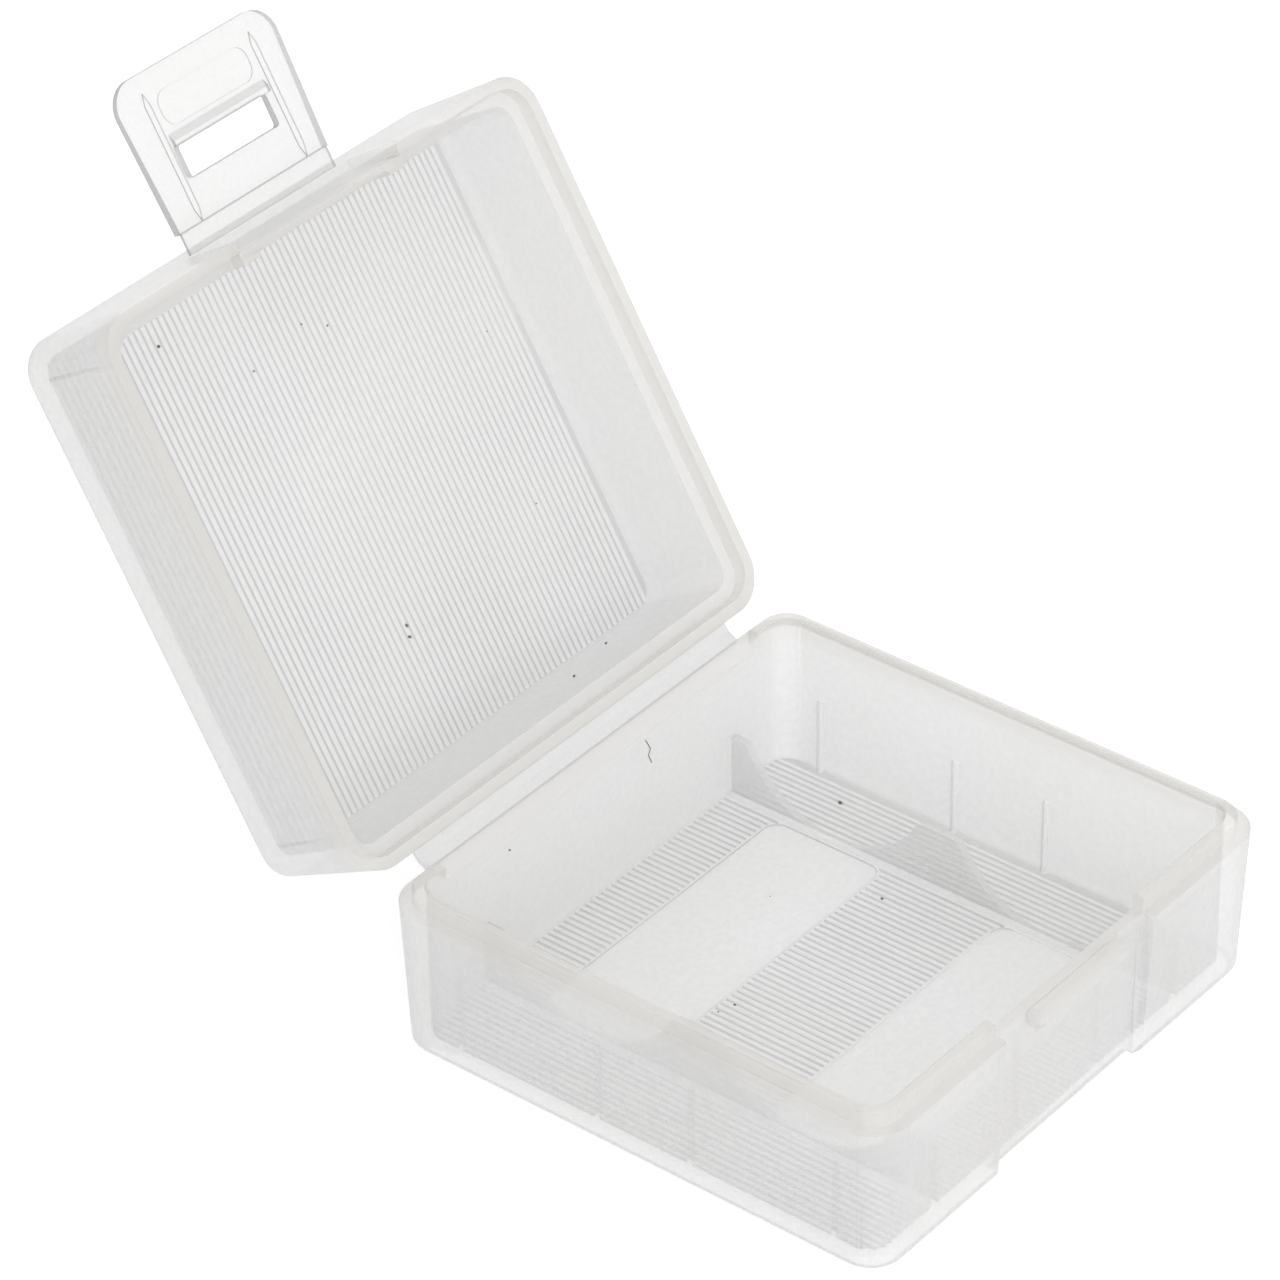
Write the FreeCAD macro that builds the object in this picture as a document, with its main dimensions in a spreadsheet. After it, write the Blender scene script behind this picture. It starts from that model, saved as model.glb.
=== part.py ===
"""Battery storage box: a hinged two-shell case moulded in one piece, shown open.

Lengths are in millimetres. The origin is the middle of the flat underside of the tray, +Z is up,
+X runs along the lid's hinge and the hinge is on the +Y side. The latch side of the tray faces -Y.
The lid and its latch tab are drawn in a frame of their own: its origin is on the hinge line, and its
axes are those of the tray when the box is shut.
"""

import math
import os

import FreeCAD
import Part
import Sketcher

PARTS_FOLDER = "parts"
RIGHT_TURN = -1
LEFT_TURN = 1

# Case
CASE_WIDTH = 75.0
CASE_DEPTH = 71.6
CORNER_RADIUS = 5.2
PARTING_GAP = 0.1
FIT_GAP = 0.1
TONGUE_INSET = 1.6
TONGUE_HEIGHT = 2.0
TONGUE_BEVEL = 0.25
EMBED = 0.4
EDGE_ROUND = 1.0

# Tray
TRAY_HEIGHT = 20.0
TRAY_DRAFT = 0.9
TRAY_RIM_WIDTH = 3.0
TRAY_CORNER_INSIDE = 2.6
FLOOR_THICKNESS = 1.0
FRONT_GAP_HALF = 14.3
BACK_GAP_HALF = 29.3

# Latch recess and catch
RECESS_HALF = 14.1
RECESS_DEPTH = 1.65
RECESS_LEAN = 0.45
LID_RECESS_HEIGHT = 9.3
RECESS_ROUND_SHARE = 0.45
CATCH_HALF = 8.6
CATCH_RADIUS = 1.35
CATCH_OUT = 1.15
CATCH_DROP = 0.8
CATCH_END_ROUND = 0.7

# Reeding
REED_PITCH = 1.0
REED_HEIGHT = 0.3
REED_FOOT = 0.76
REED_CREST = 0.26
PANEL_HALF = 22.7
PANEL_WIDTH = 16.6
PANEL_CENTRE = 16.9
PANEL_ROUND = 2.0

# Cell cradles
FIN_PLACE = 23.5
FIN_THICKNESS = 1.1
FIN_LINE = 1.8
FIN_RISE = 0.7
FIN_FALL = 1.3
FIN_SHIFT = 0.95
CELL_SHARE = 0.4268
CRADLE_ANGLE = 64.16
MIDDLE_FIN_HALF = 3.25
CROWN_RISE = 0.35
FIN_ROUND = 0.9
FIN_END_ROUND = 2.2

# Wall ribs
SIDE_RIB_OUTER = 27.0
SIDE_RIB_INNER = 6.7
SIDE_RIB_TOP = 11.5
FRONT_RIB_PLACE = 7.65
FRONT_RIB_TOP = 14.7
RIB_THICKNESS = 0.7
RIB_REACH = 0.5

# Hinge
HINGE_REACH = 1.37
HINGE_RISE = 0.21
HINGE_HALF = 29.1
HINGE_THICKNESS = 0.45
CREASE_RISE = 0.31
CREASE_BACK = 0.21
CREASE_THICKNESS = 0.34
LID_ANGLE = 121.1

# Lid
LID_HEIGHT = 17.3
LID_DRAFT = 0.95
LID_RIM_WIDTH = 3.15
LID_CORNER_INSIDE = 2.4
PANEL_THICKNESS = 1.0
RELIEF_HALF = 11.5
RELIEF_DEPTH = 0.75
RELIEF_DROP = 3.2

# Latch tab
TAB_FACE = 9.7
WEB_THICKNESS = 0.42
WEB_SINK = 0.08
WEB_HALF = 12.75
WEB_LENGTH = 2.63
TAB_LENGTH = 18.6
TAB_ROOT_HALF = 12.9
TAB_TIP_HALF = 13.6
TAB_CORNER = 3.6
TAB_THICKNESS = 1.2
TAB_TIP_THICKNESS = 0.75
WINDOW_REACH = 9.14
WINDOW_WIDTH = 4.15
WINDOW_HALF = 7.65
WINDOW_ROUND = 0.5
HOOK_HALF = 8.2
HOOK_FLAT = 0.7
HOOK_RAMP = 0.9
HOOK_HEIGHT = 0.55
SPINE_PLACE = 9.2
SPINE_WIDTH = 0.85
SPINE_SETBACK = 0.15
SPINE_MARGIN = 2.2
SPINE_HEIGHT = 0.22
SPINE_TAPER = 1.5
PAD_SETBACK = 0.55
PAD_MARGIN = 2.9
PAD_HALF = 7.6
PAD_ROUND_SHARE = 0.4
PAD_SINK = 0.15

doc = FreeCAD.newDocument("battery_storage_box")
sheet = doc.addObject("Spreadsheet::Sheet", "Sizes")
sheet_rows = []


class Size:
    """A length, angle or count, with the spreadsheet expression that gives it."""

    def __init__(self, text, value):
        self.text = text
        self.value = value

    def __add__(self, other):
        other = as_size(other)
        return Size(f"({self.text} + {other.text})", self.value + other.value)

    def __sub__(self, other):
        other = as_size(other)
        return Size(f"({self.text} - {other.text})", self.value - other.value)

    def __mul__(self, other):
        other = as_size(other)
        return Size(f"({self.text} * {other.text})", self.value * other.value)

    def __truediv__(self, other):
        other = as_size(other)
        return Size(f"({self.text} / {other.text})", self.value / other.value)

    def __neg__(self):
        return Size(f"(0 - {self.text})", -self.value)


def as_size(number):
    """The number as a Size, if it is not one yet."""
    if isinstance(number, Size):
        return number
    return Size(str(number), number)


def whole(size):
    """The size rounded down to a whole count."""
    return Size(f"floor({size.text})", math.floor(size.value))


def sine(angle):
    """The sine of an angle in degrees."""
    return Size(f"sin({angle.text})", math.sin(math.radians(angle.value)))


def cosine(angle):
    """The cosine of an angle in degrees."""
    return Size(f"cos({angle.text})", math.cos(math.radians(angle.value)))


def slope_angle(rise, run):
    """The angle in degrees of a slope."""
    ratio = rise / run
    return Size(f"atan({ratio.text})", math.degrees(math.atan(ratio.value)))


def drive(alias, value, note):
    """Put one driving dimension into the spreadsheet."""
    sheet_rows.append(alias)
    row = len(sheet_rows)
    sheet.set(f"A{row}", alias)
    sheet.set(f"B{row}", str(value))
    sheet.set(f"C{row}", note)
    sheet.setAlias(f"B{row}", alias)
    return Size(f"Sizes.{alias}", value)


ZERO = Size("0", 0.0)
ONE = Size("1", 1.0)

# Case
case_width = drive("case_width", CASE_WIDTH, "rim, along the hinge")
case_depth = drive("case_depth", CASE_DEPTH, "rim, from hinge side to latch side")
corner_radius = drive("corner_radius", CORNER_RADIUS, "rim corners")
parting_gap = drive("parting_gap", PARTING_GAP, "between the two rims when shut")
fit_gap = drive("fit_gap", FIT_GAP, "around the tongue when shut")
tongue_inset = drive("tongue_inset", TONGUE_INSET, "outer face of the tongue, from the rim's edge")
tongue_height = drive("tongue_height", TONGUE_HEIGHT, "tongue above the tray's rim")
tongue_bevel = drive("tongue_bevel", TONGUE_BEVEL, "upper edges of the tongue")
embed = drive("embed", EMBED, "how far a rib or bar is rooted in its wall")
edge_round = drive("edge_round", EDGE_ROUND, "outer edge of the floor and of the lid's panel")

# Tray
tray_height = drive("tray_height", TRAY_HEIGHT, "underside to rim")
tray_draft = drive("tray_draft", TRAY_DRAFT, "how much the walls lean in at the underside")
tray_rim_width = drive("tray_rim_width", TRAY_RIM_WIDTH, "rim's edge to inner face")
tray_corner_inside = drive("tray_corner_inside", TRAY_CORNER_INSIDE, "inner corners")
floor_thickness = drive("floor_thickness", FLOOR_THICKNESS, "floor between the reeds")
front_gap_half = drive("front_gap_half", FRONT_GAP_HALF, "half the break in the tongue at the latch")
back_gap_half = drive("back_gap_half", BACK_GAP_HALF, "half the break in the tongue at the hinge")

# Latch recess and catch
recess_half = drive("recess_half", RECESS_HALF, "half the width of the latch recess")
recess_depth = drive("recess_depth", RECESS_DEPTH, "recess, at the rim")
recess_lean = drive("recess_lean", RECESS_LEAN, "how much deeper the recess is at the underside")
recess_round_share = drive("recess_round_share", RECESS_ROUND_SHARE, "recess's rounded ends, of its depth")
lid_recess_height = drive("lid_recess_height", LID_RECESS_HEIGHT, "lid's recess, up from its rim")
catch_half = drive("catch_half", CATCH_HALF, "half the length of the catch bar")
catch_radius = drive("catch_radius", CATCH_RADIUS, "catch bar")
catch_out = drive("catch_out", CATCH_OUT, "middle of the catch bar out from the recess")
catch_drop = drive("catch_drop", CATCH_DROP, "middle of the catch bar below the rim")
catch_end_round = drive("catch_end_round", CATCH_END_ROUND, "ends of the catch bar")

# Reeding
reed_pitch = drive("reed_pitch", REED_PITCH, "one reed to the next")
reed_height = drive("reed_height", REED_HEIGHT, "reed above the groove")
reed_foot = drive("reed_foot", REED_FOOT, "width of a reed at its foot")
reed_crest = drive("reed_crest", REED_CREST, "width of a reed at its crest")
panel_half = drive("panel_half", PANEL_HALF, "half the length of a bare panel")
panel_width = drive("panel_width", PANEL_WIDTH, "width of a bare panel")
panel_centre = drive("panel_centre", PANEL_CENTRE, "middle of a bare panel from the middle of the floor")
panel_round = drive("panel_round", PANEL_ROUND, "corners of a bare panel")

# Cell cradles
fin_place = drive("fin_place", FIN_PLACE, "middle of a row of fins")
fin_thickness = drive("fin_thickness", FIN_THICKNESS, "fin")
fin_line = drive("fin_line", FIN_LINE, "low line that joins the fins, above the underside")
fin_rise = drive("fin_rise", FIN_RISE, "top of an end fin above the edge of its hollow")
fin_fall = drive("fin_fall", FIN_FALL, "rounded fall of an end fin to its wall")
fin_shift = drive("fin_shift", FIN_SHIFT, "cradles set back towards the hinge")
cell_share = drive("cell_share", CELL_SHARE, "hollow's radius, as a share of half the inside depth")
cradle_angle = drive("cradle_angle", CRADLE_ANGLE, "half the arc of a hollow")
middle_fin_half = drive("middle_fin_half", MIDDLE_FIN_HALF, "half the width of the middle fin")
crown_rise = drive("crown_rise", CROWN_RISE, "shoulder of the middle fin")
fin_round = drive("fin_round", FIN_ROUND, "rounded shoulder of a fin")
fin_end_round = drive("fin_end_round", FIN_END_ROUND, "rounding of an end fin at its wall")

# Wall ribs
side_rib_outer = drive("side_rib_outer", SIDE_RIB_OUTER, "outer ribs from the middle of the side wall")
side_rib_inner = drive("side_rib_inner", SIDE_RIB_INNER, "inner ribs from the middle of the side wall")
side_rib_top = drive("side_rib_top", SIDE_RIB_TOP, "top of the side wall ribs")
front_rib_place = drive("front_rib_place", FRONT_RIB_PLACE, "front wall ribs from the middle")
front_rib_top = drive("front_rib_top", FRONT_RIB_TOP, "top of the front wall ribs")
rib_thickness = drive("rib_thickness", RIB_THICKNESS, "wall rib")
rib_reach = drive("rib_reach", RIB_REACH, "wall rib out of its wall")

# Hinge
hinge_reach = drive("hinge_reach", HINGE_REACH, "wall to the line that the lid turns on")
hinge_rise = drive("hinge_rise", HINGE_RISE, "lid's rim plane to that line")
hinge_half = drive("hinge_half", HINGE_HALF, "half the length of the hinge strip")
hinge_thickness = drive("hinge_thickness", HINGE_THICKNESS, "hinge strip")
crease_rise = drive("crease_rise", CREASE_RISE, "crease of the strip above the hinge line")
crease_back = drive("crease_back", CREASE_BACK, "crease of the strip in front of the hinge line")
crease_thickness = drive("crease_thickness", CREASE_THICKNESS, "strip at its crease")
lid_angle = drive("lid_angle", LID_ANGLE, "lid turned open from shut")

# Lid
lid_height = drive("lid_height", LID_HEIGHT, "rim to the outside of the panel")
lid_draft = drive("lid_draft", LID_DRAFT, "how much the walls lean in at the panel")
lid_rim_width = drive("lid_rim_width", LID_RIM_WIDTH, "rim's edge to inner face")
lid_corner_inside = drive("lid_corner_inside", LID_CORNER_INSIDE, "inner corners")
panel_thickness = drive("panel_thickness", PANEL_THICKNESS, "lid panel between the reeds")
relief_half = drive("relief_half", RELIEF_HALF, "half the length of the relief behind the latch")
relief_depth = drive("relief_depth", RELIEF_DEPTH, "relief into the wall")
relief_drop = drive("relief_drop", RELIEF_DROP, "relief down from the rim")

# Latch tab
tab_face = drive("tab_face", TAB_FACE, "inner face of the tab from the rim")
web_thickness = drive("web_thickness", WEB_THICKNESS, "flexing web at the root")
web_sink = drive("web_sink", WEB_SINK, "web set back from the tab's inner face")
web_half = drive("web_half", WEB_HALF, "half the width of the web")
web_length = drive("web_length", WEB_LENGTH, "web from the lid's wall to the fold")
tab_length = drive("tab_length", TAB_LENGTH, "tab from the fold to its tip")
tab_root_half = drive("tab_root_half", TAB_ROOT_HALF, "half the width at the fold")
tab_tip_half = drive("tab_tip_half", TAB_TIP_HALF, "half the width near the tip")
tab_corner = drive("tab_corner", TAB_CORNER, "rounded corners of the tip")
tab_thickness = drive("tab_thickness", TAB_THICKNESS, "tab at the fold")
tab_tip_thickness = drive("tab_tip_thickness", TAB_TIP_THICKNESS, "tab at the tip")
window_reach = drive("window_reach", WINDOW_REACH, "fold to the window's far edge")
window_width = drive("window_width", WINDOW_WIDTH, "window, along the tab")
window_half = drive("window_half", WINDOW_HALF, "half the length of the window")
window_round = drive("window_round", WINDOW_ROUND, "corners of the window")
hook_half = drive("hook_half", HOOK_HALF, "half the length of the hook")
hook_flat = drive("hook_flat", HOOK_FLAT, "flat crest of the hook")
hook_ramp = drive("hook_ramp", HOOK_RAMP, "ramp of the hook")
hook_height = drive("hook_height", HOOK_HEIGHT, "hook out of the tab's inner face")
spine_place = drive("spine_place", SPINE_PLACE, "long ridge from the middle of the tab")
spine_width = drive("spine_width", SPINE_WIDTH, "long ridge")
spine_setback = drive("spine_setback", SPINE_SETBACK, "fold to the start of the long ridge")
spine_margin = drive("spine_margin", SPINE_MARGIN, "end of the long ridge to the tip")
spine_height = drive("spine_height", SPINE_HEIGHT, "long ridge out of the tab's inner face")
spine_taper = drive("spine_taper", SPINE_TAPER, "pointed end of the long ridge")
pad_setback = drive("pad_setback", PAD_SETBACK, "foot of the hook's ramp to the finger pad")
pad_margin = drive("pad_margin", PAD_MARGIN, "finger pad to the tip")
pad_half = drive("pad_half", PAD_HALF, "half the length of the finger pad")
pad_round_share = drive("pad_round_share", PAD_ROUND_SHARE, "pad's corners, as a share of its width")
pad_sink = drive("pad_sink", PAD_SINK, "finger pad into the inner face")

# Sizes that follow from others
half_width = case_width / 2
half_depth = case_depth / 2
tray_inner_x = half_width - tray_rim_width
tray_inner_y = half_depth - tray_rim_width
tray_top = tray_height + tongue_height
hinge_line_y = half_depth + hinge_reach
hinge_line_z = tray_height + parting_gap + hinge_rise
recess_face = half_depth - recess_depth
lid_inner_x = half_width - lid_rim_width
lid_inner_y = half_depth - lid_rim_width
lid_middle = -(hinge_reach + half_depth)
lid_panel_inside = lid_height - panel_thickness


def out(distance):
    """The lid frame's Y of a place this far out from the lid's hinge-side edge."""
    return -(hinge_reach + distance)


def deep(distance):
    """The lid frame's Z of a place this far from the lid's rim plane."""
    return distance - hinge_rise


def lid_wall(distance):
    """How far out the lid's leaning outer face is, this deep from its rim."""
    return case_depth - lid_draft * distance / lid_height


fold_place = lid_wall(tab_face) + web_length
tab_end = fold_place + tab_length
window_end = fold_place + window_reach
window_start = window_end - window_width
hook_flat_end = window_end + hook_flat
hook_end = hook_flat_end + hook_ramp
pad_start = hook_end + pad_setback
pad_end = tab_end - pad_margin
pad_round = (pad_end - pad_start) * pad_round_share
spine_start = fold_place + spine_setback
spine_end = tab_end - spine_margin


def set_size(thing, name, size):
    """Bind one property of an object to the spreadsheet."""
    thing.setExpression(name, size.text)


def origin_item(body, role):
    """The body's own origin plane or axis with this role."""
    for item in body.Origin.OriginFeatures:
        if item.Role == role:
            return item
    raise ValueError(f"no {role} in {body.Label}")


def new_body(label):
    """A body for one sub-part."""
    body = doc.addObject("PartDesign::Body", label)
    body.Label = label
    return body


def turn_with_lid(body):
    """Place a body that is drawn in the lid's frame at the lid's angle in the photograph."""
    backwards = FreeCAD.Rotation(FreeCAD.Vector(-1, 0, 0), lid_angle.value)
    at = FreeCAD.Vector(0, hinge_line_y.value, hinge_line_z.value)
    body.Placement = FreeCAD.Placement(at, backwards)
    set_size(body, "Placement.Base.y", hinge_line_y)
    set_size(body, "Placement.Base.z", hinge_line_z)
    set_size(body, "Placement.Rotation.Angle", lid_angle)


def bend(radius, turn):
    """How one corner of a loop runs to the next one, if not straight."""
    return (radius, turn)


def edge_of(start, end, bent):
    """The curve from one corner to the next, and whether it is drawn from start to end."""
    first = FreeCAD.Vector(start[0].value, start[1].value, 0)
    last = FreeCAD.Vector(end[0].value, end[1].value, 0)
    if bent is None:
        return Part.LineSegment(first, last), True
    radius, turn = bent
    chord = last - first
    rise = math.sqrt(max(radius.value**2 - (chord.Length / 2) ** 2, 0.0))
    aside = FreeCAD.Vector(-chord.y, chord.x, 0).normalize()
    centre = (first + last) * 0.5 + aside * (turn * rise)
    circle = Part.Circle(centre, FreeCAD.Vector(0, 0, 1), radius.value)
    ends = [first, last] if turn == LEFT_TURN else [last, first]
    angles = [math.atan2(point.y - centre.y, point.x - centre.x) for point in ends]
    return Part.ArcOfCircle(circle, angles[0], angles[1]), turn == LEFT_TURN


def draw_loop(sketch, loop):
    """Draw one closed loop with every corner and radius bound to the spreadsheet."""
    first_edge = sketch.GeometryCount
    forward = []
    for index, corner in enumerate(loop):
        following = loop[(index + 1) % len(loop)]
        curve, along = edge_of(corner, following, corner[2])
        sketch.addGeometry(curve, False)
        forward.append(along)
    for index, corner in enumerate(loop):
        edge = first_edge + index
        before = first_edge + (index - 1) % len(loop)
        start = 1 if forward[index] else 2
        end_before = 2 if forward[index - 1] else 1
        sketch.addConstraint(Sketcher.Constraint("Coincident", before, end_before, edge, start))
        for name, distance in (("DistanceX", corner[0]), ("DistanceY", corner[1])):
            rule = Sketcher.Constraint(name, -1, 1, edge, start, distance.value)
            number = sketch.addConstraint(rule)
            set_size(sketch, f"Constraints[{number}]", distance)
        if corner[2] is not None:
            rule = Sketcher.Constraint("Radius", edge, corner[2][0].value)
            number = sketch.addConstraint(rule)
            set_size(sketch, f"Constraints[{number}]", corner[2][0])


def outline(body, label, plane, height, loops):
    """A sketch of closed loops on an origin plane, moved out along its normal."""
    sketch = body.newObject("Sketcher::SketchObject", label)
    sketch.AttachmentSupport = (origin_item(body, plane), [""])
    sketch.MapMode = "FlatFace"
    set_size(sketch, "AttachmentOffset.Base.z", height)
    for loop in loops:
        draw_loop(sketch, loop)
    return sketch


def straight(points):
    """A loop of straight edges."""
    return [(across, along, None) for across, along in points]


def box_loop(low_x, high_x, low_y, high_y):
    """A plain rectangle."""
    return straight([(low_x, low_y), (high_x, low_y), (high_x, high_y), (low_x, high_y)])


def round_loop(half_x, low_y, high_y, radius):
    """A rectangle with rounded corners, symmetric about x = 0."""
    corner = bend(radius, LEFT_TURN)
    return [
        (-half_x + radius, low_y, None),
        (half_x - radius, low_y, corner),
        (half_x, low_y + radius, None),
        (half_x, high_y - radius, corner),
        (half_x - radius, high_y, None),
        (-half_x + radius, high_y, corner),
        (-half_x, high_y - radius, None),
        (-half_x, low_y + radius, corner),
    ]


def add(body, label, sketch, length, lean=None):
    """Material from the sketch along its normal."""
    pad = body.newObject("PartDesign::Pad", label)
    pad.Profile = sketch
    set_size(pad, "Length", length)
    if lean is not None:
        set_size(pad, "TaperAngle", lean)
    return pad


def cut(body, label, sketch, length):
    """Material taken away from the sketch against its normal."""
    pocket = body.newObject("PartDesign::Pocket", label)
    pocket.Profile = sketch
    set_size(pocket, "Length", length)
    return pocket


def repeat(body, label, feature, count):
    """The feature again and again along the body's Y axis, one reed pitch apart."""
    row = body.newObject("PartDesign::LinearPattern", label)
    row.Originals = [feature]
    row.Direction = (origin_item(body, "Y_Axis"), [""])
    set_size(row, "Length", (count - 1) * reed_pitch)
    set_size(row, "Occurrences", count)
    body.Tip = row
    return row


def edges_at(feature, height):
    """The names of the feature's edges that lie at this height."""
    doc.recompute()
    names = []
    for number, edge in enumerate(feature.Shape.Edges, start=1):
        if all(abs(vertex.Z - height.value) < Part.Precision.confusion() for vertex in edge.Vertexes):
            names.append(f"Edge{number}")
    return names


def round_rim(body, label, feature, height):
    """Round the outer edges of the feature that lie at this height."""
    rounding = body.newObject("PartDesign::Fillet", label)
    rounding.Base = (feature, edges_at(feature, height))
    set_size(rounding, "Radius", edge_round)


def bevel_rim(body, label, feature, height, size):
    """Bevel the edges of the feature that lie at this height."""
    bevel = body.newObject("PartDesign::Chamfer", label)
    bevel.Base = (feature, edges_at(feature, height))
    set_size(bevel, "Size", size)


def reed_profile(first, foot_height, crest_height):
    """The cross-section of one reed."""
    half_foot = reed_foot / 2
    half_crest = reed_crest / 2
    points = [
        (first - half_foot, foot_height),
        (first + half_foot, foot_height),
        (first + half_crest, crest_height),
        (first - half_crest, crest_height),
    ]
    return straight(points)


# Tray shell
tray = new_body("base_tray")
foot_x = half_width - tray_draft
foot_y = half_depth - tray_draft
foot_loop = round_loop(foot_x, -foot_y, foot_y, corner_radius - tray_draft)
tray_lean = slope_angle(tray_draft, tray_height)
tray_block = outline(tray, "tray_foot", "XY_Plane", ZERO, [foot_loop])
tray_shell = add(tray, "tray_walls", tray_block, tray_height, tray_lean)
round_rim(tray, "tray_foot_round", tray_shell, ZERO)

# Tongue that the lid's rim closes around
tongue_x = half_width - tongue_inset
tongue_y = half_depth - tongue_inset
tongue_loop = round_loop(tongue_x, -tongue_y, tongue_y, corner_radius - tongue_inset)
tongue_low = tray_height - embed
tongue_sketch = outline(tray, "tongue_outline", "XY_Plane", tongue_low, [tongue_loop])
add(tray, "tongue", tongue_sketch, tongue_height + embed)
inside_loop = round_loop(tray_inner_x, -tray_inner_y, tray_inner_y, tray_corner_inside)
inside_sketch = outline(tray, "inside_outline", "XY_Plane", tray_top, [inside_loop])
cut(tray, "inside", inside_sketch, tray_top - floor_thickness)
gap_loops = [
    box_loop(-front_gap_half, front_gap_half, -half_depth, -half_depth + tray_rim_width + embed),
    box_loop(-back_gap_half, back_gap_half, half_depth - tray_rim_width - embed, half_depth),
]
gap_sketch = outline(tray, "tongue_breaks_outline", "XY_Plane", tray_top, gap_loops)
tongue_breaks = cut(tray, "tongue_breaks", gap_sketch, tongue_height)
bevel_rim(tray, "tongue_edges", tongue_breaks, tray_top, tongue_bevel)

# Reeded floor with two bare panels
reed_count = whole((tray_inner_y * 2 + reed_pitch - reed_foot) / reed_pitch)
first_reed = -((reed_count - 1) * reed_pitch / 2)
reed_high = floor_thickness + reed_height
reed_start = -(tray_inner_x + embed)
floor_reed = [reed_profile(first_reed, floor_thickness, reed_high)]
reed_sketch = outline(tray, "floor_reed_outline", "YZ_Plane", reed_start, floor_reed)
one_reed = add(tray, "floor_reed", reed_sketch, (tray_inner_x + embed) * 2)
repeat(tray, "floor_reeds", one_reed, reed_count)
panel_half_width = panel_width / 2
panel_loops = [
    round_loop(panel_half, centre - panel_half_width, centre + panel_half_width, panel_round)
    for centre in (panel_centre, -panel_centre)
]
panel_sketch = outline(tray, "bare_panels_outline", "XY_Plane", reed_high + embed, panel_loops)
cut(tray, "bare_panels", panel_sketch, reed_height + embed)

# Rows of fins that cradle two cells
fin_end = tray_inner_y + embed
fin_foot = floor_thickness - embed


def fin_loop():
    """The outline of one row: an end fin, a hollow, the middle fin, a hollow and an end fin."""
    cell_radius = tray_inner_y * cell_share
    reach = cell_radius * sine(cradle_angle)
    edge = fin_line + cell_radius * (ONE - cosine(cradle_angle))
    crown = edge + crown_rise
    top = edge + fin_rise
    wall_top = top - fin_fall
    back = fin_shift + middle_fin_half + reach
    front = fin_shift - middle_fin_half - reach
    hollow = bend(cell_radius, RIGHT_TURN)
    shoulder = bend(fin_round, LEFT_TURN)
    fall = bend(fin_end_round, LEFT_TURN)
    return [
        (-fin_end, fin_foot, None),
        (fin_end, fin_foot, None),
        (fin_end, wall_top, fall),
        (fin_end - fin_fall, top, None),
        (back + reach + fin_rise, top, shoulder),
        (back + reach, edge, hollow),
        (back - reach, edge, shoulder),
        (back - reach - crown_rise, crown, bend(cell_radius, LEFT_TURN)),
        (front + reach + crown_rise, crown, shoulder),
        (front + reach, edge, hollow),
        (front - reach, edge, shoulder),
        (front - reach - fin_rise, top, None),
        (-fin_end + fin_fall, top, fall),
        (-fin_end, wall_top, None),
    ]


for side, middle in (("left", -fin_place), ("right", fin_place)):
    fin_sketch = outline(tray, f"fins_{side}_outline", "YZ_Plane", middle - fin_thickness / 2, [fin_loop()])
    add(tray, f"fins_{side}", fin_sketch, fin_thickness)

# Ribs on the walls
half_rib = rib_thickness / 2
side_loops = []
for place in (-side_rib_outer, -side_rib_inner, side_rib_inner, side_rib_outer):
    for inner, outer in (
        (-tray_inner_x - embed, -tray_inner_x + rib_reach),
        (tray_inner_x - rib_reach, tray_inner_x + embed),
    ):
        side_loops.append(box_loop(inner, outer, place - half_rib, place + half_rib))
side_rib_sketch = outline(tray, "side_ribs_outline", "XY_Plane", fin_foot, side_loops)
add(tray, "side_ribs", side_rib_sketch, side_rib_top - fin_foot)
front_loops = [
    box_loop(place - half_rib, place + half_rib, -tray_inner_y - embed, -tray_inner_y + rib_reach)
    for place in (-front_rib_place, front_rib_place)
]
front_rib_sketch = outline(tray, "front_ribs_outline", "XY_Plane", fin_foot, front_loops)
add(tray, "front_ribs", front_rib_sketch, front_rib_top - fin_foot)

# Latch recess with rounded ends, and the catch bar
recess_round = recess_depth * recess_round_share


def recess_loop(outer, face):
    """The recess seen from above, in front of a wall face at y = outer and down to y = face."""
    swing = bend(recess_round, RIGHT_TURN)
    cove = bend(recess_round, LEFT_TURN)
    wide = recess_half + recess_round
    flat = recess_half - recess_round
    return [
        (-wide, outer - embed, None),
        (wide, outer - embed, None),
        (wide, outer, swing),
        (recess_half, outer + recess_round, None),
        (recess_half, face - recess_round, cove),
        (flat, face, None),
        (-flat, face, cove),
        (-recess_half, face - recess_round, None),
        (-recess_half, outer + recess_round, swing),
        (-wide, outer, None),
    ]


tray_recess_loop = recess_loop(-half_depth, -recess_face)
recess_sketch = outline(tray, "recess_outline", "XY_Plane", tray_top, [tray_recess_loop])
cut(tray, "recess", recess_sketch, tray_top + embed)
recess_foot = recess_face - recess_lean
lean_loop = [
    (-recess_face - embed, -embed, None),
    (-recess_foot + edge_round, -embed, None),
    (-recess_foot + edge_round, ZERO, bend(edge_round, RIGHT_TURN)),
    (-recess_foot, edge_round, None),
    (-recess_face, tray_height - embed, None),
    (-recess_face - embed, tray_height - embed, None),
]
lean_half = recess_half - recess_round
lean_sketch = outline(tray, "recess_lean_outline", "YZ_Plane", lean_half, [lean_loop])
cut(tray, "recess_lean", lean_sketch, lean_half * 2)
catch_height = tray_height - catch_drop
catch_top = catch_height + catch_radius
catch_loop = [
    (-catch_half, catch_height, None),
    (catch_half, catch_height, None),
    (catch_half, catch_top - catch_end_round, bend(catch_end_round, LEFT_TURN)),
    (catch_half - catch_end_round, catch_top, None),
    (-catch_half + catch_end_round, catch_top, bend(catch_end_round, LEFT_TURN)),
    (-catch_half, catch_top - catch_end_round, None),
]
catch_sketch = outline(tray, "catch_outline", "XZ_Plane", recess_face + catch_out, [catch_loop])
catch_bar = tray.newObject("PartDesign::Revolution", "catch_bar")
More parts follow.
